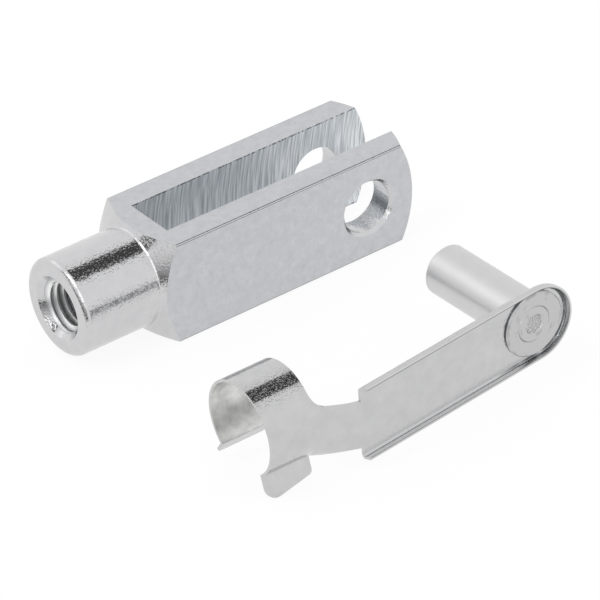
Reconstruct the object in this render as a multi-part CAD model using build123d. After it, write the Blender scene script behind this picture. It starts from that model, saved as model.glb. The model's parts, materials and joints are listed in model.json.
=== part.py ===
from build123d import *

import os
from math import asin, cos, degrees, radians, sin, sqrt, tan

# Clevis rod end (fork head) with its spring clip pin, taken apart and laid side by side.
# Millimetres, +Z up. The origin is the centre of the fork's pin bore, on the rod axis.
# The rod enters along +X, the pin bore runs along Y, and the fork lies on its flat side.
# "Near" and "far" are said along the pin: near is the side of the clip's arm.

# Fork, milled from square bar
fork_width = 19.8           # square bar, side to side
bar_edge = 0.35             # rounding of the drawn bar's long edges
ear_gap = 10.2              # slot between the two ears
bore_diameter = 10.0        # pin bore through both ears
bore_chamfer = 0.6          # on the outer faces of the ears
slot_depth = 40.0           # slot bottom to the pin bore's centre
socket_length = 20.0        # slot bottom to the neck's end face
ear_overhang = 12.0         # pin bore's centre to the ears' tips
tip_radius = 23.0           # ball-turned ends of the ears
neck_diameter = 18.0
neck_length = 15.3
neck_rounding = 1.1         # outer edge of the neck's end face
neck_fillet = 0.7           # inner corner between neck and shoulder
shoulder_angle = 58.0       # shoulder cone, measured from the rod axis
thread_diameter = 10.0      # M10 thread, bored out to its major diameter
socket_chamfer = 0.9        # countersink at the neck's end of the thread

# Clip pin and its washer
pin_clearance = 0.35        # radial play of the pin in the bore
pin_overhang = 2.7          # how far the pin stands past the far ear
pin_chamfer = 0.7
tenon_diameter = 6.6        # riveted end of the pin
tenon_clearance = 0.03      # radial, in the clip's and the washer's holes
tenon_edge = 0.12           # small chamfers where the tenon is spread
head_rise = 0.15            # the riveted head stands this proud of the washer
head_slope = 0.9            # width of the cone round the head's flat ring
dimple_diameter = 3.8       # mark of the riveting punch
dimple_depth = 0.3
washer_diameter = 12.1
washer_thickness = 0.5
washer_edge = 0.15

# Spring clip, folded from strip steel
sheet = 0.5
arm_width = 14.3            # tray that carries the pin, over its flanges
pin_setback = 0.55          # pin axis to the centre of the tray's round end
flange_height = 1.65        # over the sheet, from the arm's back face
bend_radius = 1.0           # outside radius of the tray's edge bend
arm_reach = 37.1            # pin axis to the tray's open end, on its middle line
flange_rake = 0.6           # how far the flange's open end leans back over its height
link_width = 9.3            # strip between the tray and the hook
link_lift = -0.3            # middle of its end at the tray, above the arm's middle line
link_top = 3.45             # its upper edge above the hook's axis, run on to the hook's rim
link_flare = 3.3            # radius between the hook's rim and that edge
link_start = 2.8            # the hook's curve runs on this far past its rim
link_slack = 0.93           # and has opened by this much of radius there
link_spare = 0.5            # the strip is made this much too high at the tray, and trimmed
opened_start_angle = 150.0  # upper end of that opened curve, in the sense of the hook's arc
opened_end_angle = 220.5    # and its lower end
hook_width = 9.4            # band of the hook, along its axis
hook_play = 0.75            # radial squeeze of the free hook on the neck
hook_set = 0.2              # the free hook stands this much nearer the arm than the neck does
hook_lift = 2.75            # the free hook stands this much above the arm's middle line
hook_yaw = 2.18             # lean of the hook's axis, away from the fork on the pin's side
hook_pitch = 4.07           # dip of the hook's axis in the arm's plane, down on the pin's side
mouth_far_angle = -46.5     # far end of the hook's arc; 0 is its far wall, 90 its top
mouth_near_angle = 232.0    # near end of the hook's arc
lip_length = 2.6            # turned-out lip at the far end
lip_angle = -56.0           # its direction, in the same sense as the arc's ends
tab_long = 5.1              # thumb tab at the near end, at the outer rim
tab_short = 3.25            # and at the inner rim
tab_lean_angle = 16.0       # from straight down, outwards
tab_corner_outer = 2.2      # rounded corners of the tab's free edge
tab_corner_inner = 0.9

# Where the clip lies beside the fork
clip_ahead = -4.6           # pin axis from the fork's bore, along the rod
clip_gap = 48.85            # fork's near side to the arm's back face
clip_yaw = 0.44             # turn in plan
clip_pitch = -5.42          # rise of the pin's end above the hook's end
clip_roll = -1.28           # lean about the arm's length

# Worked out from the sizes above
half_width = fork_width / 2
slot_bottom = -slot_depth
neck_end = slot_bottom - socket_length
shoulder_start = neck_end + neck_length
bore_radius = bore_diameter / 2
pin_radius = bore_radius - pin_clearance
pin_length = fork_width + pin_overhang
hook_radius = neck_diameter / 2 - hook_play
hook_middle = hook_radius + sheet / 2
rim_reach = -shoulder_start
flare_top = 180 - degrees(asin((link_top + link_flare + sheet) / hook_middle))
beyond = 1.0                # cutters run this far past the faces they cut
same = 1e-6                 # coordinates closer than this are one and the same


def lathe(points, axis):
    """Closed half profile, points given as (along the axis, radius), turned about X or Y."""
    if axis == Axis.Y:
        points = [(radius, along) for along, radius in points]
    return revolve(make_face(Polyline(points, close=True)), axis=axis)


def countersink(mouth, radius, depth):
    """Cone for one mouth of a bore, as half profile points, running out past the face."""
    outward = beyond if depth > 0 else -beyond
    return [(mouth - depth, radius), (mouth + outward, radius + abs(depth) + beyond)]


def clevis_fork():
    neck_radius = neck_diameter / 2
    outer = half_width * sqrt(2) + beyond
    cone_end = shoulder_start + (outer - neck_radius) / tan(radians(shoulder_angle))
    ball_centre = ear_overhang - tip_radius
    ball_start = ball_centre + sqrt(tip_radius**2 - outer**2)
    sides = Polyline(
        (ear_overhang, 0),
        (neck_end, 0),
        (neck_end, neck_radius),
        (shoulder_start, neck_radius),
        (cone_end, outer),
        (ball_start, outer),
    )
    tip = RadiusArc((ball_start, outer), (ear_overhang, 0), tip_radius)
    profile = make_face(sides + tip)
    corners = profile.vertices().filter_by(lambda v: abs(v.Y - neck_radius) < same)
    profile = fillet(corners.sort_by(Axis.X)[0], neck_rounding)
    corners = profile.vertices().filter_by(lambda v: abs(v.X - shoulder_start) < same)
    profile = fillet(corners, neck_fillet)
    turned = revolve(profile, axis=Axis.X)

    bar_length = ear_overhang - neck_end
    bar = Pos((ear_overhang + neck_end) / 2, 0, 0) * Box(bar_length, fork_width, fork_width)
    bar = fillet(bar.edges().filter_by(Axis.X), bar_edge)

    slot_length = ear_overhang - slot_bottom + beyond
    slot = Pos(slot_bottom + slot_length / 2, 0, 0) * Box(slot_length, ear_gap, fork_width + 2 * beyond)
    near_mouth = countersink(-half_width, bore_radius, -bore_chamfer)
    far_mouth = countersink(half_width, bore_radius, bore_chamfer)
    past = half_width + beyond
    bore = lathe([(past, 0), (-past, 0), *reversed(near_mouth), *far_mouth], Axis.Y)
    thread_radius = thread_diameter / 2
    thread_mouth = countersink(neck_end, thread_radius, -socket_chamfer)
    inside = slot_bottom + beyond
    thread_end = [(inside, thread_radius), (inside, 0), (neck_end - beyond, 0)]
    thread = lathe([*thread_end, *reversed(thread_mouth)], Axis.X)
    return (turned & bar) - slot - bore - thread


def clevis_pin():
    """The pin's axis is Y here; its shoulder is at y = 0 and its free end at +y."""
    tenon = tenon_diameter / 2
    washer_face = -(sheet + washer_thickness)
    head = washer_face - head_rise
    dimple = dimple_diameter / 2
    points = [
        (head + dimple_depth, 0),
        (head + dimple_depth, dimple - dimple_depth),
        (head, dimple),
        (head, tenon - head_slope),
        (washer_face, tenon - tenon_edge),
        (washer_face + tenon_edge, tenon),
        (0, tenon),
        (0, pin_radius),
        (pin_length - pin_chamfer, pin_radius),
        (pin_length, pin_radius - pin_chamfer),
        (pin_length, 0),
    ]
    return lathe(points, Axis.Y)


def rivet_washer():
    hole = tenon_diameter / 2 + tenon_clearance
    outer = washer_diameter / 2
    back = -sheet
    front = back - washer_thickness
    points = [
        (back, hole),
        (back, outer),
        (front + washer_edge, outer),
        (front, outer - washer_edge),
        (front, hole + tenon_edge),
        (front + tenon_edge, hole),
    ]
    return lathe(points, Axis.Y)


def tray():
    """Shallow channel: floor against y = 0, flanges standing towards -y, open at the hook's end."""
    overrun = arm_reach + arm_width
    upright = Plane.XZ

    def side_view(radius):
        straight = Pos(-overrun / 2, 0) * Rectangle(overrun, 2 * radius)
        return Pos(pin_setback, 0) * (straight + Circle(radius))

    outer = extrude(upright * side_view(arm_width / 2), flange_height)
    back_rim = outer.edges().filter_by(lambda e: abs(e.center().Y) < same)
    outer = fillet(back_rim, bend_radius)
    inner = extrude(upright.offset(sheet) * side_view(arm_width / 2 - sheet), flange_height)
    floor_rim = inner.edges().filter_by(lambda e: abs(e.center().Y + sheet) < same)
    inner = fillet(floor_rim, bend_radius - sheet)

    past_end = Pos(-overrun, 0, 0) * Box(2 * overrun, arm_width, 2 * arm_width)
    lowest = -flange_height - beyond
    leaning = flange_rake * (lowest + sheet) / (sheet - flange_height)
    rake = make_face(Polyline((0, -sheet), (leaning, lowest), (-beyond, lowest), close=True))
    rake = extrude(rake, arm_width, both=True)
    tenon_hole = Rot(90, 0, 0) * Cylinder(tenon_diameter / 2 + tenon_clearance, arm_width)
    return outer - inner - arm_end() * past_end - arm_end() * rake - tenon_hole


def arm_end():
    """The tray's open end, cut square to the hook's axis."""
    return Pos(-arm_reach, 0, 0) * Rot(0, hook_pitch, 0)


def hook_frame():
    """Middle of the hook's band; its axis is local x, z points up and y along the pin."""
    middle = rim_reach + hook_width / 2
    return Pos(-middle, half_width - hook_set, hook_lift) * Rot(0, hook_pitch, -hook_yaw)


def around(angle, radius):
    """Point of the hook's section; 0 is the far wall, 90 the top, 180 the near wall."""
    return radius * cos(radians(angle)), radius * sin(radians(angle))


def band_section(start, end, slack=0.0):
    """Bent strip between two angles; slack opens its radius, about the top of the flare."""
    centre = around(flare_top, -slack)
    radius = hook_radius + slack
    outer = CenterArc(centre, radius + sheet, start, end - start)
    inner = CenterArc(centre, radius, start, end - start)
    ends = Line(outer @ 0, inner @ 0) + Line(outer @ 1, inner @ 1)
    return make_face(outer + inner + ends)


def folded_plate(hinge_angle, direction, outline):
    """Plate bent off one end of the hook's arc; outline is (along the axis, along the plate)."""
    lateral, height = around(hinge_angle, hook_middle)
    along = Vector(0, cos(radians(direction)), sin(radians(direction)))
    across = Vector(1, 0, 0)
    plane = Plane(origin=(0, lateral, height), x_dir=across, z_dir=across.cross(along))
    bend = Pos(0, lateral, height) * Rot(0, 90, 0) * Cylinder(sheet / 2, hook_width)
    return extrude(plane * outline, sheet / 2, both=True) + bend


def thumb_tab():
    half = hook_width / 2
    edge = Polyline((-half, 0), (half, 0), (half, tab_short), (-half, tab_long), close=True)
    outline = make_face(edge)
    outline = fillet(outline.vertices().sort_by(Axis.Y)[-1], tab_corner_outer)
    inner_rim = outline.vertices().filter_by(lambda v: abs(v.X - half) < same)
    outline = fillet(inner_rim.sort_by(Axis.Y)[-1], tab_corner_inner)
    return folded_plate(mouth_near_angle, 270 - tab_lean_angle, outline)


def lip():
    outline = Pos(0, lip_length / 2) * Rectangle(hook_width, lip_length)
    corners = outline.vertices().sort_by(Axis.Y)[-2:]
    return folded_plate(mouth_far_angle, lip_angle, fillet(corners, sheet))


def strip():
    """Strip from the hook's rim to the tray's open end: a curved band that flattens on its way."""
    rim = hook_width / 2
    band = band_section(flare_top, mouth_near_angle)
    opened = band_section(opened_start_angle, opened_end_angle, link_slack)
    flat = Plane.YZ * (Pos(0, link_spare / 2) * Rectangle(sheet, link_width + link_spare))
    tray_end = tray_end_in_hook(link_lift)
    stations = [
        Plane.YZ.offset(rim) * band,
        Plane.YZ.offset(rim + link_start) * opened,
        tray_end * flat,
    ]
    return loft([station.face() for station in stations]) - above_strip()


def above_strip():
    """All that lies over the strip's upper edge, which meets the hook's rim with a round flare."""
    rim = hook_width / 2
    corner = tray_end_in_hook(link_lift + link_width / 2).position
    rise = (corner.Z - link_top) / (corner.X - rim)
    past = corner.X + beyond
    high = 2 * hook_radius
    points = [(rim, link_top), (past, link_top + rise * (past - rim)), (past, high), (rim, high)]
    outline = make_face(Polyline(points, close=True))
    inner = outline.vertices().filter_by(lambda v: abs(v.Y - link_top) < same)
    return extrude(Plane.XZ * fillet(inner, link_flare), 2 * hook_radius, both=True)


def tray_end_in_hook(height):
    """Middle of the sheet at the tray's open end, this high on it, as the hook's frame sees it."""
    return hook_frame().inverse() * arm_end() * Pos(0, -sheet / 2, height)


def spring_clip():
    band = extrude(Plane.YZ * band_section(mouth_far_angle, mouth_near_angle), hook_width / 2, both=True)
    return tray() + hook_frame() * (band + strip() + thumb_tab() + lip())


def laid_out():
    """Pose of the clip beside the fork, dropped until it touches the plane the fork lies on."""
    turned = Rot(0, 0, clip_yaw) * Rot(0, clip_pitch, 0) * Rot(clip_roll, 0, 0)
    lowest = (turned * spring_clip()).bounding_box().min.Z
    return Pos(clip_ahead, -half_width - clip_gap, -half_width - lowest) * turned


pose = laid_out()
pieces = {
    "clevis_fork": clevis_fork(),
    "clevis_pin": pose * clevis_pin(),
    "rivet_washer": pose * rivet_washer(),
    "spring_clip": pose * spring_clip(),
}

os.makedirs("parts", exist_ok=True)
for name, piece in pieces.items():
    export_step(piece, f"parts/{name}.step")
    box = piece.bounding_box()
    print(name, piece.is_valid, len(piece.solids()), round(piece.volume, 1), box)
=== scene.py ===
import json
import math

import bmesh
import bpy
from mathutils import Matrix, Vector


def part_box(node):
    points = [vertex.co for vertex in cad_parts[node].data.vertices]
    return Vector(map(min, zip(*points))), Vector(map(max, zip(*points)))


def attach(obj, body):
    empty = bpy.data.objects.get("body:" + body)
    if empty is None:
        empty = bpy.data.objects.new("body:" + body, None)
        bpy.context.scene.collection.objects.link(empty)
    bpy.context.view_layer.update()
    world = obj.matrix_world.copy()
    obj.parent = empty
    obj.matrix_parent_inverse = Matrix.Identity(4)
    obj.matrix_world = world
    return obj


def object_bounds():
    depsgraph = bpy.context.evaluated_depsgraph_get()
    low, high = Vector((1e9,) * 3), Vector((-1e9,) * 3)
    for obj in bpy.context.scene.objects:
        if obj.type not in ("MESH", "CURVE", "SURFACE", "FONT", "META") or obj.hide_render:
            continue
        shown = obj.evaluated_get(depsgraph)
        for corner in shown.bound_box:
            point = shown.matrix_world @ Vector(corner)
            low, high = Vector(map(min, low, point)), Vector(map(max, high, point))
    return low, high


# Fork head and its spring clip pin, bright zinc plated steel, on a pale studio floor.
# The shared frame: metres, origin at the centre of the fork's pin bore, +X to the ears' tips, +Z up.

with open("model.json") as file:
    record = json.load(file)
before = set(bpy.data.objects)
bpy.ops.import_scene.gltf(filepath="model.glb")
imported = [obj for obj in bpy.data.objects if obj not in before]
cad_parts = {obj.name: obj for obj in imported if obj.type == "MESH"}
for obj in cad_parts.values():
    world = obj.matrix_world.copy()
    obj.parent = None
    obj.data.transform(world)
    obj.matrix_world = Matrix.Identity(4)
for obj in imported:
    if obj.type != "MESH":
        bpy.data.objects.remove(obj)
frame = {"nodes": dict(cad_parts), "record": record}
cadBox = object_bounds()
mm = 0.001
scene = bpy.context.scene
mounts = {mount["name"]: mount for mount in frame["record"]["mounts"]}
pinMiddle, pinAxis = Vector(mounts["clip_pin"]["pos_m"]), Vector(mounts["clip_pin"]["axis"])
# the tray lies on this end of the pin, and the riveted joint is beyond it
pinShoulder = pinMiddle - pinAxis * mounts["clip_pin"]["dims"]["length_mm"] * mm / 2
print("frame loaded:", ", ".join(sorted(frame["nodes"])))


def hexColour(code):
    # an sRGB hex code as the linear colour that the shaders take
    parts = [int(code[i:i + 2], 16) / 255 for i in (1, 3, 5)]
    linear = [p / 12.92 if p <= 0.04045 else ((p + 0.055) / 1.055) ** 2.4 for p in parts]
    return (*linear, 1.0)


def addNode(tree, kind, inputs=None, **settings):
    # a node with its settings; an input is a value, or the node or socket that drives it
    node = tree.nodes.new(kind)
    for name, value in settings.items():
        setattr(node, name, value)
    for key, value in (inputs or {}).items():
        if isinstance(value, bpy.types.Node):
            value = value.outputs[0]
        if isinstance(value, bpy.types.NodeSocket):
            tree.links.new(value, node.inputs[key])
        else:
            node.inputs[key].default_value = value
    return node


def newMaterial(name):
    material = bpy.data.materials.new(name)
    material.use_nodes = True
    material.node_tree.nodes.clear()
    return material, material.node_tree


def inMillimetres(tree):
    # object coordinates in millimetres, so that a scale of 1 / size gives a pattern of that size
    place = addNode(tree, "ShaderNodeTexCoord").outputs["Object"]
    return addNode(tree, "ShaderNodeVectorMath", {0: place, "Scale": 1 / mm}, operation="SCALE")


# Camera

cameraSettings = {
    "aim": (-27.2 * mm, -25.0 * mm, 0.3 * mm),
    "distance": 866 * mm,
    "turn": -37.35,         # degrees about the vertical
    "elevation": 33.93,
    "roll": -1.65,
    "lens": 306,            # mm, on a sensor this wide
    "sensor": 36,
    "near": 0.01,           # metres, the range that it shows
    "far": 20,
}


def placeCamera():
    s = cameraSettings
    camera = bpy.data.objects.new("camera", bpy.data.cameras.new("camera"))
    scene.collection.objects.link(camera)
    camera.data.sensor_width = s["sensor"]
    camera.data.lens = s["lens"]
    camera.data.clip_start = s["near"]
    camera.data.clip_end = s["far"]
    turn = Matrix.Rotation(math.radians(s["turn"]), 4, "Z")
    tip = Matrix.Rotation(math.radians(90 - s["elevation"]), 4, "X")
    roll = Matrix.Rotation(math.radians(s["roll"]), 4, "Z")
    back = Matrix.Translation((0, 0, s["distance"]))
    camera.matrix_world = Matrix.Translation(s["aim"]) @ turn @ tip @ roll @ back
    scene.camera = camera


placeCamera()
print("camera placed")


# Studio: white floor and surroundings, one softbox, and cards that only the metal sees

studioSettings = {
    "floorRadius": 6.0, "floorSides": 96,   # metres
    "floorDrop": 0.03 * mm,         # keeps the floor clear of the fork's underside
    "floorColour": "#f2f2f1",
    "floorWhiteToCamera": 0.86,     # share of plain white over the floor's own shadows
    "floorWhiteToMetal": 0.75,
    "whiteLevel": 1.03,             # makes up for the floor's own grey, so that it is white
    "roomLevel": 0.84,              # light that the room gives to matt surfaces
}

# degrees about the vertical and above the floor, and metres
softbox = {"turn": 180, "elevation": 48, "distance": 1.6, "size": 0.7, "radiance": 3.0}

cards = {
    # metres in the shared frame; the level goes from the first edge to the second
    # the dark gap between the overhead diffusers, along the rod axis
    "overheadGap": {
        "x": (-0.1, 1.6), "y": (-0.27, 0.33), "z": (1.0, 1.0), "level": (0.07, 0.07),
    },
    # a low card ahead of the neck's end, black at its foot and white at its top
    "lowCard": {
        "x": (-0.09, -0.09), "y": (-0.043, 0.014), "z": (-0.0099, 0.0155), "level": (0.0, 1.0),
    },
    # a dark strip above it
    "upperCard": {
        "x": (-0.09, -0.09), "y": (0.003, 0.018), "z": (0.0155, 0.024), "level": (0.05, 0.2),
    },
}

panels = {
    # bright panels out of sight, in the softbox's measures
    "leftPanel": {
        "turn": 215, "elevation": 21, "distance": 1.4, "width": 0.75, "height": 0.9, "level": 1.7,
    },
    "backPanel": {
        "turn": 116, "elevation": 34, "distance": 2.2, "width": 1.5, "height": 0.9, "level": 1.3,
    },
}


def seenAs(tree, *kinds):
    # 1 for the given kinds of ray, 0 for all others
    path = addNode(tree, "ShaderNodeLightPath")
    seen = path.outputs[kinds[0]]
    for kind in kinds[1:]:
        seen = addNode(tree, "ShaderNodeMath", {0: seen, 1: path.outputs[kind]}, operation="MAXIMUM")
    return seen


def awayFromAim(turn, elevation):
    # the unit vector at these degrees about the vertical and above the floor
    turn, rise = math.radians(turn), math.radians(elevation)
    flat = math.cos(rise)
    return Vector((math.cos(turn) * flat, math.sin(turn) * flat, math.sin(rise)))


def buildRoom():
    world = bpy.data.worlds.new("whiteRoom")
    scene.world = world
    world.use_nodes = True
    tree = world.node_tree
    tree.nodes.clear()
    seen = seenAs(tree, "Is Camera Ray", "Is Glossy Ray", "Is Transmission Ray")
    toMatt = {"Value": seen, "To Min": studioSettings["roomLevel"], "To Max": 1.0}
    level = addNode(tree, "ShaderNodeMapRange", toMatt)
    room = addNode(tree, "ShaderNodeBackground", {"Color": (1, 1, 1, 1), "Strength": level})
    addNode(tree, "ShaderNodeOutputWorld", {"Surface": room})


def buildFloor():
    s = studioSettings
    shape = {"vertices": s["floorSides"], "radius": s["floorRadius"], "fill_type": "NGON"}
    bpy.ops.mesh.primitive_circle_add(**shape)
    floor = bpy.context.object
    floor.name = "studioFloor"
    floor.location.z = cadBox[0].z - s["floorDrop"]
    material, tree = newMaterial("mattWhitePaper")
    paper = addNode(tree, "ShaderNodeBsdfDiffuse", {"Color": hexColour(s["floorColour"])})
    white = addNode(tree, "ShaderNodeEmission", {"Color": (1, 1, 1, 1), "Strength": s["whiteLevel"]})
    toCamera = seenAs(tree, "Is Camera Ray", "Is Transmission Ray")
    sockets = {0: toCamera, 1: s["floorWhiteToCamera"]}
    toCamera = addNode(tree, "ShaderNodeMath", sockets, operation="MULTIPLY")
    toMetal = {0: seenAs(tree, "Is Glossy Ray"), 1: s["floorWhiteToMetal"], 2: toCamera}
    share = addNode(tree, "ShaderNodeMath", toMetal, operation="MULTIPLY_ADD")
    mix = addNode(tree, "ShaderNodeMixShader", {0: share, 1: paper, 2: white})
    addNode(tree, "ShaderNodeOutputMaterial", {"Surface": mix})
    floor.data.materials.append(material)


def buildSoftbox():
    s = softbox
    light = bpy.data.lights.new("softbox", "AREA")
    light.shape = "SQUARE"
    light.size = s["size"]
    light.energy = s["radiance"] * math.pi * s["size"] ** 2
    lamp = bpy.data.objects.new("softbox", light)
    scene.collection.objects.link(lamp)
    away = awayFromAim(s["turn"], s["elevation"])
    lamp.location = Vector(cameraSettings["aim"]) + away * s["distance"]
    lamp.rotation_mode = "QUATERNION"
    lamp.rotation_quaternion = away.to_track_quat("Z", "Y")


def buildCard(name, corners, level):
    # a glowing or dark sheet; its level goes from the first edge to the second
    material, tree = newMaterial("studio_" + name)
    up = addNode(tree, "ShaderNodeSeparateXYZ", {0: addNode(tree, "ShaderNodeUVMap", uv_map="sheet")})
    shade = {"Value": up.outputs[1], "To Min": level[0], "To Max": level[1]}
    glow = addNode(tree, "ShaderNodeEmission", {"Strength": addNode(tree, "ShaderNodeMapRange", shade)})
    addNode(tree, "ShaderNodeOutputMaterial", {"Surface": glow})
    mesh = bpy.data.meshes.new(name)
    mesh.from_pydata(corners, [], [(0, 1, 2, 3)])
    layer = mesh.uv_layers.new(name="sheet")
    for corner, uv in zip(layer.data, ((0, 0), (1, 0), (1, 1), (0, 1))):
        corner.uv = uv
    mesh.materials.append(material)
    card = bpy.data.objects.new(name, mesh)
    scene.collection.objects.link(card)
    card.visible_camera = False
    card.visible_diffuse = False
    card.visible_shadow = False


def buildCards():
    for name, s in cards.items():
        (x0, x1), (y0, y1), (z0, z1) = s["x"], s["y"], s["z"]
        if z0 == z1:    # a sheet that lies level; the others stand across the rod
            corners = [(x0, y0, z0), (x1, y0, z0), (x1, y1, z0), (x0, y1, z0)]
        else:
            corners = [(x0, y0, z0), (x0, y1, z0), (x0, y1, z1), (x0, y0, z1)]
        buildCard(name, corners, s["level"])
    for name, s in panels.items():
        away = awayFromAim(s["turn"], s["elevation"])
        side = Vector((0, 0, 1)).cross(away).normalized()
        middle = Vector(cameraSettings["aim"]) + away * s["distance"]
        right, rise = side * s["width"] / 2, away.cross(side) * s["height"] / 2
        low, high = middle - rise, middle + rise
        corners = [low - right, low + right, high + right, high - right]
        buildCard(name, corners, (s["level"], s["level"]))


buildRoom()
buildFloor()
buildSoftbox()
buildCards()
scene.view_settings.view_transform = "Standard"
print("studio built")


# Finishes: all the steel is bright zinc plated, and each surface keeps the marks of how it was made

def metalFinish(tree, tone, roughness, normal=None):
    sockets = {"Base Color": tone, "Metallic": 1.0, "Roughness": roughness}
    if normal:
        sockets["Normal"] = normal
    metal = addNode(tree, "ShaderNodeBsdfPrincipled", sockets)
    addNode(tree, "ShaderNodeOutputMaterial", {"Surface": metal})


def zincOnDrawnBar():
    # cold-drawn square bar under thin zinc: satin, softly clouded, with faint lines along the bar
    s = {
        "light": "#cfd0d3", "dark": "#babbbe",
        "cloudSize": 1.6,           # mm, blotches of the plating bath
        "cloudRange": (0.25, 0.75),
        "lineWidth": 0.35,          # mm, draw lines, drawn coarser than real so that they show
        "lineLength": 14.0,
        "grainSize": 0.3,
        "roughness": (0.24, 0.36),
        "bumpDepth": 0.005,         # mm
    }
    material, tree = newMaterial("zincOnDrawnBar")
    place = inMillimetres(tree)
    sockets = {"Vector": place, "Scale": 1 / s["cloudSize"], "Detail": 7.0, "Roughness": 0.8}
    cloud = addNode(tree, "ShaderNodeTexNoise", sockets)
    low, high = s["cloudRange"]
    blotches = addNode(tree, "ShaderNodeMapRange", {"Value": cloud, "From Min": low, "From Max": high})
    sockets = {"Vector": place, "Scale": 1 / s["grainSize"], "Detail": 2.0}
    grain = addNode(tree, "ShaderNodeTexNoise", sockets)
    squeeze = (1 / s["lineLength"], 1 / s["lineWidth"], 1 / s["lineWidth"])
    along = addNode(tree, "ShaderNodeVectorMath", {0: place, 1: squeeze}, operation="MULTIPLY")
    lines = addNode(tree, "ShaderNodeTexNoise", {"Vector": along, "Scale": 1.0, "Detail": 2.0})
    both = addNode(tree, "ShaderNodeMath", {0: lines, 1: grain}, operation="ADD")
    sockets = {"Strength": 1.0, "Distance": s["bumpDepth"] * mm, "Height": both}
    bump = addNode(tree, "ShaderNodeBump", sockets)
    sockets = {0: blotches, 1: hexColour(s["dark"]), 2: hexColour(s["light"])}
    tone = addNode(tree, "ShaderNodeMixRGB", sockets)
    least, most = s["roughness"]
    rough = addNode(tree, "ShaderNodeMapRange", {"Value": blotches, "To Min": most, "To Max": least})
    metalFinish(tree, tone, rough, bump)
    return material


def zincOnDrawnEdge():
    # the bar's rounded long edges, burnished by the drawing die: a thin line that mirrors the studio;
    # its darker tone is painted shade that deepens that line
    s = {"tone": "#a0a1a4", "roughness": 0.06}
    material, tree = newMaterial("zincOnDrawnEdge")
    metalFinish(tree, hexColour(s["tone"]), s["roughness"])
    return material


def zincOnTurnedSteel():
    # turned on the lathe under thin zinc: bright, with the tool's fine rings and the zinc's crystals
    s = {
        "light": "#d4d4d5", "dark": "#c6c6c8",
        "cloudSize": 2.0,
        "ringPitch": 0.3,           # mm, the tool's feed, drawn coarser than real so that it shows
        "grainSize": 0.42,          # mm, crystals of the zinc
        "grainRange": (0.5, 0.66),  # of the noise; flat between the crystals
        "dentSize": 0.9,
        "roughness": 0.12,
        "ringDepth": 0.0015, "grainDepth": 0.015, "dentDepth": 0.002,
    }
    material, tree = newMaterial("zincOnTurnedSteel")
    place = inMillimetres(tree)
    parts = addNode(tree, "ShaderNodeSeparateXYZ", {0: place})
    fromAxis = addNode(tree, "ShaderNodeVectorMath", {0: place, 1: (0, 1, 1)}, operation="MULTIPLY")
    radius = addNode(tree, "ShaderNodeVectorMath", {0: fromAxis}, operation="LENGTH")
    ringPlace = addNode(tree, "ShaderNodeCombineXYZ", {0: parts.outputs[0], 1: radius.outputs["Value"]})
    sockets = {"Vector": ringPlace, "Scale": 1 / s["ringPitch"], "Detail": 1.0}
    rings = addNode(tree, "ShaderNodeTexNoise", sockets)
    sockets = {"Vector": place, "Scale": 1 / s["grainSize"], "Detail": 2.0}
    grain = addNode(tree, "ShaderNodeTexNoise", sockets)
    low, high = s["grainRange"]
    crystals = addNode(tree, "ShaderNodeMapRange", {"Value": grain, "From Min": low, "From Max": high})
    sockets = {"Vector": place, "Scale": 1 / s["dentSize"], "Detail": 2.0}
    dents = addNode(tree, "ShaderNodeTexNoise", sockets)
    sockets = {"Vector": place, "Scale": 1 / s["cloudSize"], "Detail": 6.0}
    cloud = addNode(tree, "ShaderNodeTexNoise", sockets)
    bump = None
    layers = ((rings, s["ringDepth"]), (dents, s["dentDepth"]), (crystals, s["grainDepth"]))
    for height, depth in layers:
        layer = {"Strength": 1.0, "Distance": depth * mm, "Height": height}
        if bump:
            layer["Normal"] = bump
        bump = addNode(tree, "ShaderNodeBump", layer)
    sockets = {0: cloud, 1: hexColour(s["dark"]), 2: hexColour(s["light"])}
    tone = addNode(tree, "ShaderNodeMixRGB", sockets)
    metalFinish(tree, tone, s["roughness"], bump)
    return material


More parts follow.
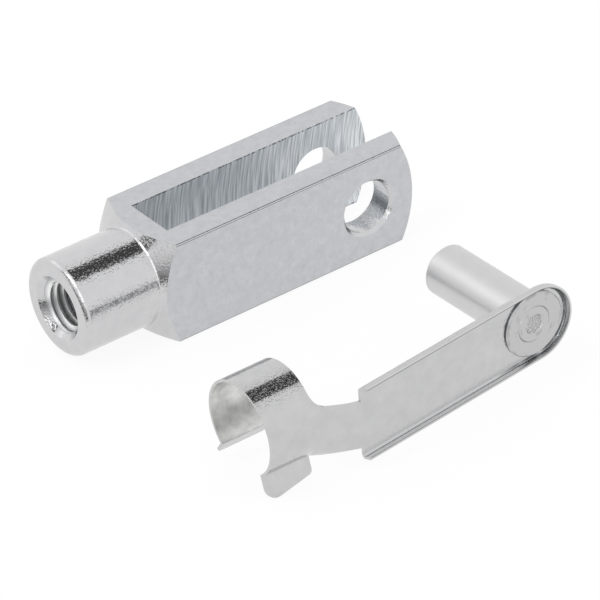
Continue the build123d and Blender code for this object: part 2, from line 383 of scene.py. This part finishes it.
def zincOnMilledSlot():
    # slot cut by a disc cutter: duller and bluish, with arcs left by the cutter's rim
    s = {
        "light": "#eaedf0", "dark": "#b6bbbf",
        "toneRange": (0.36, 0.62),  # of the noise
        "arcPitch": 0.34,           # mm between the cutter's marks
        "cutterRadius": 40.0,
        "wander": 0.05,             # how fast the marks change along an arc
        "roughness": 0.5,
        "arcDepth": 0.02,
        "burrShade": "#5c6064",          # painted shade of a burr that the cutter left on the slot's top edges
        "burrHeight": (9.6, 9.7),   # mm from the fork's middle
        "burrSize": 0.45, "burrRange": (0.44, 0.54),
    }
    material, tree = newMaterial("zincOnMilledSlot")
    place = inMillimetres(tree)
    parts = addNode(tree, "ShaderNodeSeparateXYZ", {0: place})
    sockets = {0: parts.outputs[2], 1: parts.outputs[2]}
    square = addNode(tree, "ShaderNodeMath", sockets, operation="MULTIPLY")
    # the cutter's arcs are bowed by the height squared over twice its radius
    bow = {0: square, 1: -1 / (2 * s["cutterRadius"]), 2: parts.outputs[0]}
    across = addNode(tree, "ShaderNodeMath", bow, operation="MULTIPLY_ADD")
    sockets = {0: parts.outputs[2], 1: s["wander"]}
    height = addNode(tree, "ShaderNodeMath", sockets, operation="MULTIPLY")
    arcPlace = addNode(tree, "ShaderNodeCombineXYZ", {0: across, 1: parts.outputs[1], 2: height})
    sockets = {"Vector": arcPlace, "Scale": 1 / s["arcPitch"], "Detail": 3.0}
    arcs = addNode(tree, "ShaderNodeTexNoise", sockets)
    sockets = {"Strength": 1.0, "Distance": s["arcDepth"] * mm, "Height": arcs}
    bump = addNode(tree, "ShaderNodeBump", sockets)
    low, high = s["toneRange"]
    streaks = addNode(tree, "ShaderNodeMapRange", {"Value": arcs, "From Min": low, "From Max": high})
    sockets = {0: streaks, 1: hexColour(s["dark"]), 2: hexColour(s["light"])}
    tone = addNode(tree, "ShaderNodeMixRGB", sockets)
    # painted shade of the burr: dark dashes along the slot's top edges
    away = addNode(tree, "ShaderNodeMath", {0: parts.outputs[2]}, operation="ABSOLUTE")
    low, high = s["burrHeight"]
    atEdge = addNode(tree, "ShaderNodeMapRange", {"Value": away, "From Min": low, "From Max": high})
    sockets = {"Vector": place, "Scale": 1 / s["burrSize"], "Detail": 3.0}
    torn = addNode(tree, "ShaderNodeTexNoise", sockets)
    low, high = s["burrRange"]
    torn = addNode(tree, "ShaderNodeMapRange", {"Value": torn, "From Min": low, "From Max": high})
    burrShade = addNode(tree, "ShaderNodeMath", {0: atEdge, 1: torn}, operation="MULTIPLY")
    tone = addNode(tree, "ShaderNodeMixRGB", {0: burrShade, 1: tone, 2: hexColour(s["burrShade"])})
    metalFinish(tree, tone, s["roughness"], bump)
    return material


def zincOnRolledStrip():
    # rolled spring strip, smooth before plating: the glossiest surface, with fine specks
    s = {
        "light": "#d0d0d0", "dark": "#bebebf",
        "cloudSize": 2.6,
        "speckSize": 0.3,
        "speckRange": (0.53, 0.64),     # of the noise; flat between the specks
        "roughness": 0.1,
        "speckDepth": 0.014,
    }
    material, tree = newMaterial("zincOnRolledStrip")
    place = inMillimetres(tree)
    sockets = {"Vector": place, "Scale": 1 / s["cloudSize"], "Detail": 6.0}
    cloud = addNode(tree, "ShaderNodeTexNoise", sockets)
    sockets = {"Vector": place, "Scale": 1 / s["speckSize"], "Detail": 2.0}
    specks = addNode(tree, "ShaderNodeTexNoise", sockets)
    low, high = s["speckRange"]
    pimples = addNode(tree, "ShaderNodeMapRange", {"Value": specks, "From Min": low, "From Max": high})
    sockets = {"Strength": 1.0, "Distance": s["speckDepth"] * mm, "Height": pimples}
    bump = addNode(tree, "ShaderNodeBump", sockets)
    sockets = {0: cloud, 1: hexColour(s["dark"]), 2: hexColour(s["light"])}
    tone = addNode(tree, "ShaderNodeMixRGB", sockets)
    metalFinish(tree, tone, s["roughness"], bump)
    return material


def zincInCorner():
    # inner corner of the folded tray: dull, with painted shade as a dark line in the gap round the
    # washer
    s = {
        "plated": "#c4c6c8", "shaded": "#5e6062",
        "shadeRange": (11.0, 7.0),   # mm from the riveted joint's centre
        "shadeTop": (0.85, 0.65),    # mm above the tray's back
        "patchSize": 2.2,           # mm, gaps in the painted shade
        "patchRange": (0.2, 0.5),
        "roughness": 0.16,
    }
    material, tree = newMaterial("zincInCorner")
    place = inMillimetres(tree)
    reach = addNode(tree, "ShaderNodeVectorMath", {0: place, 1: pinShoulder / mm}, operation="SUBTRACT")
    away = addNode(tree, "ShaderNodeVectorMath", {0: reach}, operation="LENGTH").outputs["Value"]
    upright = {0: reach, 1: -pinAxis}
    height = addNode(tree, "ShaderNodeVectorMath", upright, operation="DOT_PRODUCT").outputs["Value"]
    sockets = {"Vector": place, "Scale": 1 / s["patchSize"], "Detail": 2.0}
    patches = addNode(tree, "ShaderNodeTexNoise", sockets)
    # painted shade: darker near the washer and low in the corner, broken into patches
    shadeMask = 1.0
    layers = ((away, s["shadeRange"]), (height, s["shadeTop"]), (patches, s["patchRange"]))
    for measure, (low, high) in layers:
        sockets = {"Value": measure, "From Min": low, "From Max": high}
        share = addNode(tree, "ShaderNodeMapRange", sockets)
        shadeMask = addNode(tree, "ShaderNodeMath", {0: shadeMask, 1: share}, operation="MULTIPLY")
    sockets = {0: shadeMask, 1: hexColour(s["plated"]), 2: hexColour(s["shaded"])}
    tone = addNode(tree, "ShaderNodeMixRGB", sockets)
    metalFinish(tree, tone, s["roughness"])
    return material


def zincOnFlangeWall():
    # inner wall of the tray's flange, wiped by the folding die: softer than the strip, and painted
    # brighter, painted light that lifts the wall's dark reflections
    s = {"tone": "#ececec", "roughness": 0.3}
    material, tree = newMaterial("zincOnFlangeWall")
    metalFinish(tree, hexColour(s["tone"]), s["roughness"])
    return material


def zincOnShearedEdge():
    # rim of the tray, cut in a press: bright, and dark where it lies closer to the tray's middle line
    # than the given distance
    s = {
        "bright": "#d0d0d0", "dark": "#7b7d7f",
        "armTurn": 0.44, "armRise": 5.42,   # degrees, the way that the tray runs
        "endAhead": 0.55,                   # mm, the round end's centre from the pin's axis
        "darkBandRange": (6.84, 6.74),         # mm from the tray's middle line
        "roughness": 0.2,
    }
    material, tree = newMaterial("zincOnShearedEdge")
    place = inMillimetres(tree)
    arm = awayFromAim(s["armTurn"], s["armRise"])
    arm = (arm - pinAxis * arm.dot(pinAxis)).normalized()
    end = pinMiddle / mm + arm * s["endAhead"]
    reach = addNode(tree, "ShaderNodeVectorMath", {0: place, 1: end}, operation="SUBTRACT")
    # takes away what lies along the pin, and along the tray behind the round end's centre
    flat = reach
    for way, operation, limit in ((pinAxis, "MULTIPLY", 1.0), (arm, "MINIMUM", 0.0)):
        sockets = {0: reach, 1: way}
        part = addNode(tree, "ShaderNodeVectorMath", sockets, operation="DOT_PRODUCT").outputs["Value"]
        part = addNode(tree, "ShaderNodeMath", {0: part, 1: limit}, operation=operation)
        part = addNode(tree, "ShaderNodeVectorMath", {0: way, "Scale": part}, operation="SCALE")
        flat = addNode(tree, "ShaderNodeVectorMath", {0: flat, 1: part}, operation="SUBTRACT")
    fromLine = addNode(tree, "ShaderNodeVectorMath", {0: flat}, operation="LENGTH").outputs["Value"]
    low, high = s["darkBandRange"]
    darkBand = addNode(tree, "ShaderNodeMapRange", {"Value": fromLine, "From Min": low, "From Max": high})
    sockets = {0: darkBand, 1: hexColour(s["bright"]), 2: hexColour(s["dark"])}
    tone = addNode(tree, "ShaderNodeMixRGB", sockets)
    metalFinish(tree, tone, s["roughness"])
    return material


def zincInsideBend():
    # inner side of the rolled hook, where the plating bath reaches poorly: duller and mottled, and
    # painted lighter than the strip, painted light that lifts the hook's dark inside
    s = {
        "light": "#e6e6e4", "dark": "#c4c4c2",
        "cloudSize": 2.0,
        "cloudRange": (0.3, 0.65),
        "speckSize": 0.3,
        "roughness": 0.34,
        "speckDepth": 0.02,
    }
    material, tree = newMaterial("zincInsideBend")
    place = inMillimetres(tree)
    sockets = {"Vector": place, "Scale": 1 / s["cloudSize"], "Detail": 4.0}
    cloud = addNode(tree, "ShaderNodeTexNoise", sockets)
    sockets = {"Vector": place, "Scale": 1 / s["speckSize"], "Detail": 2.0}
    specks = addNode(tree, "ShaderNodeTexNoise", sockets)
    sockets = {"Strength": 1.0, "Distance": s["speckDepth"] * mm, "Height": specks}
    bump = addNode(tree, "ShaderNodeBump", sockets)
    low, high = s["cloudRange"]
    plated = addNode(tree, "ShaderNodeMapRange", {"Value": cloud, "From Min": low, "From Max": high})
    sockets = {0: plated, 1: hexColour(s["dark"]), 2: hexColour(s["light"])}
    tone = addNode(tree, "ShaderNodeMixRGB", sockets)
    metalFinish(tree, tone, s["roughness"], bump)
    return material


def zincOnGroundPin():
    # centreless ground pin: even satin, with a soft sheen along it
    s = {
        "light": "#d6d6d6", "dark": "#cbcbcb",
        "cloudSize": 4.0,
        "grainSize": 0.3,
        "roughness": 0.32,
        "grainDepth": 0.004,
    }
    material, tree = newMaterial("zincOnGroundPin")
    place = inMillimetres(tree)
    sockets = {"Vector": place, "Scale": 1 / s["cloudSize"], "Detail": 4.0}
    cloud = addNode(tree, "ShaderNodeTexNoise", sockets)
    sockets = {"Vector": place, "Scale": 1 / s["grainSize"], "Detail": 2.0}
    grain = addNode(tree, "ShaderNodeTexNoise", sockets)
    sockets = {"Strength": 1.0, "Distance": s["grainDepth"] * mm, "Height": grain}
    bump = addNode(tree, "ShaderNodeBump", sockets)
    sockets = {0: cloud, 1: hexColour(s["dark"]), 2: hexColour(s["light"])}
    tone = addNode(tree, "ShaderNodeMixRGB", sockets)
    metalFinish(tree, tone, s["roughness"], bump)
    return material


def zincOnRivetedJoint():
    # upset end of the pin and its washer: rings where the metal was spread, facets from the punch
    s = {
        "light": "#c2c2c2", "dark": "#6c6c6e",
        "toneRange": (0.14, 0.44),
        "facetSize": 0.55,          # mm, left by the worn punch in the dimple
        "creaseWidth": 0.14,        # share of a facet
        "creaseShade": 0.3,         # how dark the creases between the facets are
        "ringPitch": 0.9,
        "dimple": (1.8, 1.6),       # mm from the pin's axis, where the facets begin
        "patchSize": 1.6,
        "grainSize": 0.35,
        "roughness": 0.16,
        "ringDepth": 0.09, "creaseDepth": 0.04, "grainDepth": 0.006,
    }
    material, tree = newMaterial("zincOnRivetedJoint")
    place = inMillimetres(tree)
    sockets = {0: place, 1: pinShoulder / mm}
    around = addNode(tree, "ShaderNodeVectorMath", sockets, operation="SUBTRACT")
    parts = addNode(tree, "ShaderNodeSeparateXYZ", {0: around})
    flat = addNode(tree, "ShaderNodeCombineXYZ", {0: parts.outputs[0], 1: parts.outputs[2]})
    radius = addNode(tree, "ShaderNodeVectorMath", {0: flat}, operation="LENGTH").outputs["Value"]
    sockets = {"Vector": place, "Scale": 1 / s["facetSize"]}
    facets = addNode(tree, "ShaderNodeTexVoronoi", sockets, feature="DISTANCE_TO_EDGE")
    sockets = {"Value": facets, "From Min": s["creaseWidth"], "From Max": 0.0}
    creases = addNode(tree, "ShaderNodeMapRange", sockets)
    outer, inner = s["dimple"]
    sockets = {"Value": radius, "From Min": outer, "From Max": inner}
    punched = addNode(tree, "ShaderNodeMapRange", sockets)
    creases = addNode(tree, "ShaderNodeMath", {0: creases, 1: punched}, operation="MULTIPLY")
    ringPlace = addNode(tree, "ShaderNodeCombineXYZ", {0: radius})
    sockets = {"Vector": ringPlace, "Scale": 1 / s["ringPitch"], "Detail": 1.0}
    rings = addNode(tree, "ShaderNodeTexNoise", sockets)
    sockets = {"Vector": place, "Scale": 1 / s["grainSize"], "Detail": 2.0}
    grain = addNode(tree, "ShaderNodeTexNoise", sockets)
    bump = None
    layers = ((rings, s["ringDepth"]), (creases, -s["creaseDepth"]), (grain, s["grainDepth"]))
    for height, depth in layers:
        layer = {"Strength": 1.0, "Distance": depth * mm, "Height": height}
        if bump:
            layer["Normal"] = bump
        bump = addNode(tree, "ShaderNodeBump", layer)
    # the tone darkens in the grooves between the rings, painted shade, and in random dull patches;
    # painted shade also darkens the creases between the punch's facets
    low, high = s["toneRange"]
    sockets = {"Vector": place, "Scale": 1 / s["patchSize"], "Detail": 1.0}
    patches = addNode(tree, "ShaderNodeTexNoise", sockets)
    both = addNode(tree, "ShaderNodeMath", {0: rings, 1: patches}, operation="ADD")
    shadeAndPatches = addNode(tree, "ShaderNodeMath", {0: both, 1: 1 / 2}, operation="MULTIPLY")
    unshaded = addNode(tree, "ShaderNodeMapRange", {"Value": shadeAndPatches, "From Min": low, "From Max": high})
    sockets = {0: unshaded, 1: hexColour(s["dark"]), 2: hexColour(s["light"])}
    tone = addNode(tree, "ShaderNodeMixRGB", sockets)
    shade = addNode(tree, "ShaderNodeMath", {0: creases, 1: s["creaseShade"]}, operation="MULTIPLY")
    tone = addNode(tree, "ShaderNodeMixRGB", {0: shade, 1: tone, 2: hexColour(s["dark"])})
    metalFinish(tree, tone, s["roughness"], bump)
    return material


def zincInThread():
    # tapped thread: crests painted lighter than the rest of the zinc, painted light that lifts the dark
    # bore; the tone turns darker towards the roots
    s = {
        "crest": "#f4f4f4", "root": "#bcbec0",
        "rootRange": (4.95, 4.5),   # mm from the bore's axis
        "roughness": 0.32,
        "grainSize": 0.3, "grainDepth": 0.01,
    }
    material, tree = newMaterial("zincInThread")
    place = inMillimetres(tree)
    parts = addNode(tree, "ShaderNodeSeparateXYZ", {0: place})
    flat = addNode(tree, "ShaderNodeCombineXYZ", {0: parts.outputs[1], 1: parts.outputs[2]})
    radius = addNode(tree, "ShaderNodeVectorMath", {0: flat}, operation="LENGTH").outputs["Value"]
    low, high = s["rootRange"]
    plated = addNode(tree, "ShaderNodeMapRange", {"Value": radius, "From Min": low, "From Max": high})
    sockets = {0: plated, 1: hexColour(s["root"]), 2: hexColour(s["crest"])}
    tone = addNode(tree, "ShaderNodeMixRGB", sockets)
    sockets = {"Vector": place, "Scale": 1 / s["grainSize"], "Detail": 2.0}
    grain = addNode(tree, "ShaderNodeTexNoise", sockets)
    sockets = {"Strength": 1.0, "Distance": s["grainDepth"] * mm, "Height": grain}
    bump = addNode(tree, "ShaderNodeBump", sockets)
    metalFinish(tree, tone, s["roughness"], bump)
    return material


finish = {
    "bar": zincOnDrawnBar(), "edge": zincOnDrawnEdge(),
    "turned": zincOnTurnedSteel(), "milled": zincOnMilledSlot(), "tapped": zincInThread(),
    "strip": zincOnRolledStrip(), "corner": zincInCorner(), "bend": zincInsideBend(),
    "sheared": zincOnShearedEdge(), "wall": zincOnFlangeWall(),
    "pin": zincOnGroundPin(), "riveted": zincOnRivetedJoint(),
}

dressSettings = {
    "slotHalf": 5.1 * mm,       # half the gap between the ears
    "slack": 0.05 * mm,         # faces this close to a cut belong to it
    "flat": 0.9999,             # of a unit normal, for a face that lies square to an axis
    "facing": 0.5,              # of a unit normal, tells the washer's flat faces from its side
    "riveted": 0.6 * mm,        # the riveted end starts this far beyond the pin's shoulder
    "side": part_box("clevis_fork")[1].y,     # the bar's side, from the pin bore's centre
    "trayReach": 31 * mm,       # what lies further back from the pin is strip and hook
    "rimOut": 1.4 * mm,         # the tray's rim stands out from the pin's shoulder by more than this
    "cornerFacing": (0.08, 0.98),   # of a unit normal, how far a bend of the tray faces out of it
}


def forkFinish(centre, normal):
    s = dressSettings
    socket = mounts["rod_thread"]
    slotBottom = socket["pos_m"][0] + socket["dims"]["length_mm"] * mm / 2
    fromAxis = math.hypot(centre.y, centre.z)
    if max(abs(centre.y), abs(centre.z)) > s["side"] - s["slack"]:
        return "bar" if max(abs(normal.y), abs(normal.z)) > s["flat"] else "edge"
    inSlot = centre.x > slotBottom - s["slack"] and abs(centre.y) < s["slotHalf"] + s["slack"]
    if inSlot and (abs(normal.y) > s["flat"] or centre.x < slotBottom + s["slack"]):
        return "milled"
    if centre.x < slotBottom and fromAxis < socket["dims"]["r_mm"] * mm + s["slack"]:
        return "tapped"
    return "turned"


def pinFinish(centre, normal):
    out = (pinShoulder - centre).dot(pinAxis)
    return "riveted" if out > dressSettings["riveted"] else "pin"


def washerFinish(centre, normal):
    return "riveted" if abs(normal.dot(pinAxis)) > dressSettings["facing"] else "corner"


def clipFinish(centre, normal):
    s = dressSettings
    low, high = s["cornerFacing"]
    facing, out = -normal.dot(pinAxis), (pinShoulder - centre).dot(pinAxis)
    if centre.x > pinMiddle.x - s["trayReach"]:
        if facing > high and out > s["rimOut"]:
            return "sheared"
        if low < facing < high:
            return "corner"
        if abs(facing) < low and out > 0 and normal.dot(centre - pinMiddle) < 0:
            return "wall"
    hook = mounts["hook"]
    axis, reach = Vector(hook["axis"]), centre - Vector(hook["pos_m"])
    along = reach.dot(axis)
    fromAxis = (reach - axis * along).length
    inHook = abs(along) < hook["dims"]["length_mm"] * mm / 2 + s["slack"]
    inside = fromAxis < hook["dims"]["r_mm"] * mm + s["slack"]
    return "bend" if inHook and inside else "strip"


def dress(name, names, choose):
    # one slot for each finish that the piece has; choose names the finish of a face
    mesh = frame["nodes"][name].data
    mesh.materials.clear()
    for key in names:
        mesh.materials.append(finish[key])
    for face in mesh.polygons:
        face.material_index = names.index(choose(face.center, face.normal))
    print("dressed:", name)


dress("clevis_fork", ["bar", "edge", "turned", "milled", "tapped"], forkFinish)
dress("clevis_pin", ["pin", "riveted"], pinFinish)
dress("spring_clip", ["strip", "corner", "bend", "sheared", "wall"], clipFinish)
dress("rivet_washer", ["riveted", "corner"], washerFinish)


# Thread inside the neck

threadSettings = {
    "pitch": 1.5 * mm,
    "crestRadius": 4.19 * mm,
    "crestWidth": 0.25 * mm,
    "rootWidth": 0.19 * mm,
    "bite": 0.04 * mm,          # the ridge stands in the bore's wall by this much
    "mouthRadius": 5.9 * mm,    # countersink at the neck's end, 45 degrees
    "stepsPerTurn": 72,
    "mouthGap": 0.1 * mm,       # the ridge starts this far inside the neck's end
    "slotGap": 0.01 * mm,
    "extraTurns": 2,            # one more at each end, where the ridge runs out
    "weld": 0.001 * mm,         # points closer than this are merged
}


def buildThread():
    s = threadSettings
    socket = mounts["rod_thread"]
    wall = socket["dims"]["r_mm"] * mm
    inner = socket["pos_m"][0] + socket["dims"]["length_mm"] * mm / 2   # slot bottom
    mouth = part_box("clevis_fork")[0].x                                  # neck's end face
    halfPitch, halfCrest = s["pitch"] / 2, s["crestWidth"] / 2
    foot = halfPitch - s["rootWidth"] / 2
    # ridge's section over one pitch: along the axis, radius
    section = [
        (-halfPitch, wall + s["bite"]), (-foot, wall), (-halfCrest, s["crestRadius"]),
        (halfCrest, s["crestRadius"]), (foot, wall), (halfPitch, wall + s["bite"]),
    ]
    mesh = bmesh.new()
    turns = (inner - mouth) / s["pitch"] + s["extraTurns"]
    rows = []
    for i in range(round(turns * s["stepsPerTurn"]) + 1):
        turn = i / s["stepsPerTurn"]
        angle = 2 * math.pi * turn
        row = []
        for along, radius in section:
            x = mouth + (turn - s["extraTurns"] / 2) * s["pitch"] + along
            x = min(max(x, mouth + s["mouthGap"]), inner - s["slotGap"])
            cone = s["mouthRadius"] - (x - mouth) + s["bite"] / 2
            r = max(radius, cone)
            row.append(mesh.verts.new((x, r * math.cos(angle), r * math.sin(angle))))
        rows.append(row)
    for a, b in zip(rows, rows[1:]):
        for j in range(len(section) - 1):
            mesh.faces.new((a[j], a[j + 1], b[j + 1], b[j]))
    bmesh.ops.remove_doubles(mesh, verts=mesh.verts, dist=s["weld"])
    bmesh.ops.recalc_face_normals(mesh, faces=mesh.faces)
    data = bpy.data.meshes.new("rod_thread")
    mesh.to_mesh(data)
    mesh.free()
    thread = bpy.data.objects.new("rod_thread", data)
    scene.collection.objects.link(thread)
    data.materials.append(finish["tapped"])
    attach(thread, "root")
    print("thread cut:", len(data.polygons), "faces")


buildThread()
